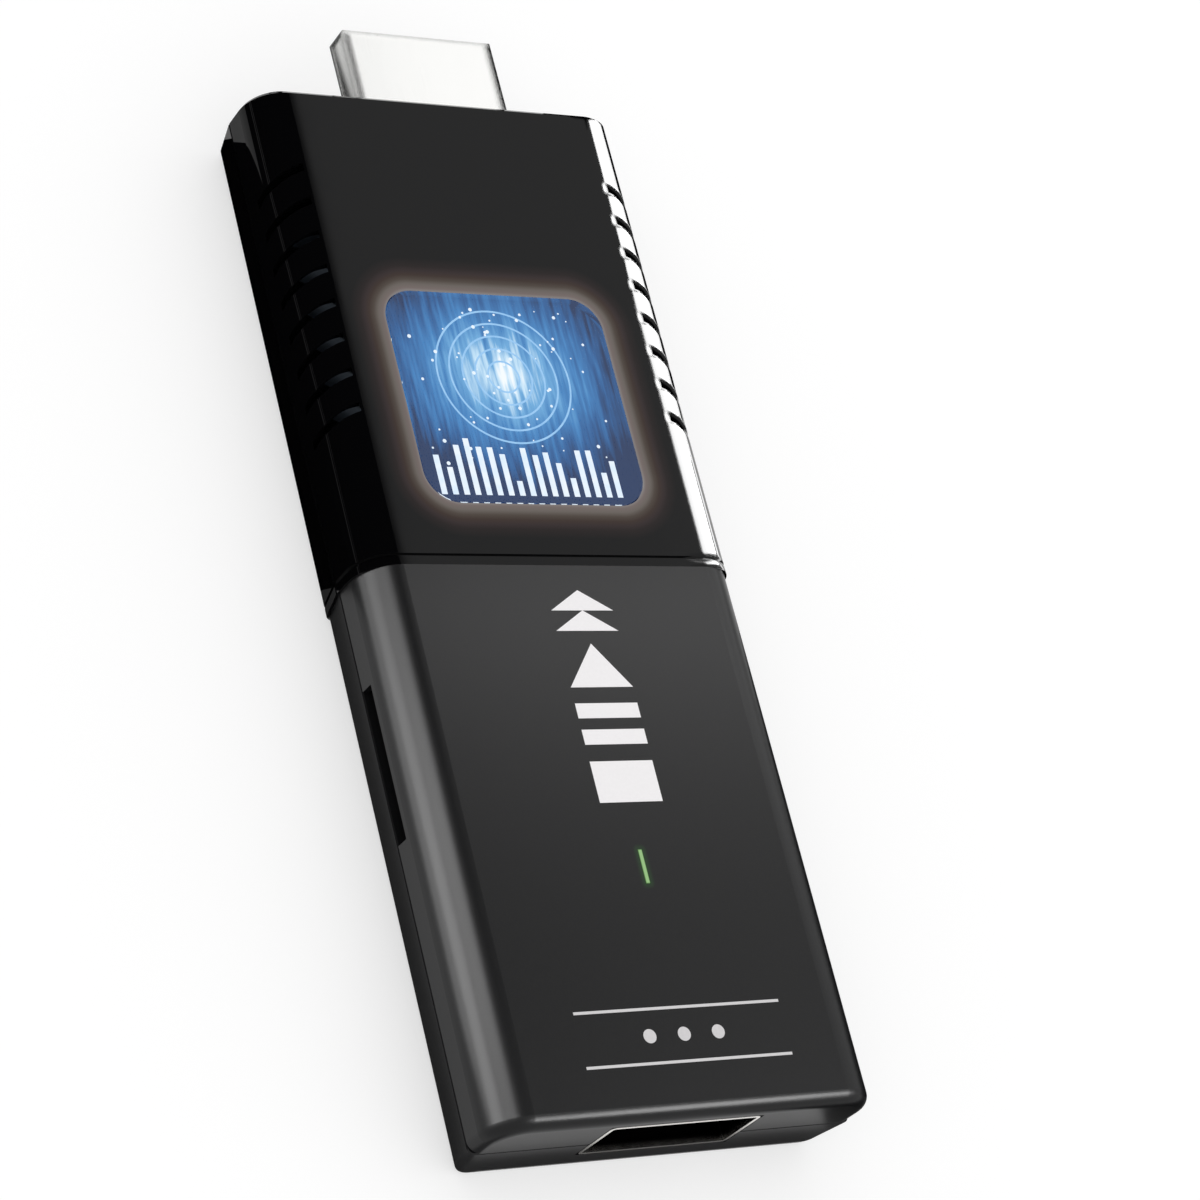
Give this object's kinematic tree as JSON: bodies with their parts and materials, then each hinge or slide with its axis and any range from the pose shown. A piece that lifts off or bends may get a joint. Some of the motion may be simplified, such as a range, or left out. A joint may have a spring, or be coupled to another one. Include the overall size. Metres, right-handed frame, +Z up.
{
  "type": "streaming media stick",
  "caption": "Slim media stick: HDMI plug at one end, USB-A port at the other, card slot and power inlet on its sides, vented glossy half with a lit window.",
  "frame": {"origin": "middle of the base, under the middle of the whole stick with its plug", "axes": "+X across the stick, +Y along it towards the HDMI plug, +Z up from the base"},
  "size_m": [0.034, 0.0944, 0.0098],
  "materials": {
    "gloss_cover": "glossy black moulded ABS",
    "matte_cover": "fine matte dark grey moulded ABS",
    "lens": "clear acrylic lens",
    "picture": "printed blue film, lit from behind",
    "guide": "clear acrylic light guide",
    "reflector": "white reflector film",
    "lamp": "white surface-mount lamp",
    "green_light": "clear light pipe, lit green",
    "board": "green solder mask",
    "plug_metal": "bright nickel-plated sheet",
    "port_metal": "nickel-plated sheet",
    "contact": "gold-plated contact",
    "insulator": "black glass-filled nylon",
    "chip": "black epoxy package",
    "ceramic": "fired ceramic chip",
    "ferrite": "moulded ferrite",
    "pad": "soft silicone pad",
    "spreader": "plain aluminium sheet",
    "steel": "zinc-plated steel",
    "slider": "ivory acetal"
  },
  "bodies": {
    "housing": {"front_top_cover": "gloss_cover", "front_bottom_cover": "gloss_cover", "rear_top_cover": "matte_cover", "rear_bottom_cover": "matte_cover", "window_lens": "lens", "picture_film": "picture", "light_guide": "guide", "reflector_film": "reflector", "backlight_leds": "lamp", "light_pipe": "green_light", "status_led": "lamp", "circuit_board": "board", "board_screws": "steel", "hdmi_shell": "plug_metal", "hdmi_insulator": "insulator", "hdmi_contacts": "contact", "usb_shell": "port_metal", "usb_insulator": "insulator", "usb_contacts": "contact", "micro_usb_shell": "port_metal", "micro_usb_insulator": "insulator", "micro_usb_contacts": "contact", "tf_base": "insulator", "tf_shell": "port_metal", "tf_contacts": "contact", "tf_spring": "steel", "tf_cam_pin": "steel", "processor": "chip", "thermal_pad": "pad", "heat_spreader": "spreader", "memory_chips": "chip", "flash_chip": "chip", "wireless_can": "port_metal", "chip_antenna": "ceramic", "inductors": "ferrite", "capacitors": "ceramic", "crystal": "port_metal"},
    "card_slider": {"tf_slider": "slider"}
  },
  "joints": [
    {"name": "card_slide", "type": "slide", "parent": "housing", "child": "card_slider", "axis": [1, 0, 0], "range_m": [0, 0.0036], "stiffness_N_per_m": 80, "deforming": ["tf_spring"]}
  ]
}
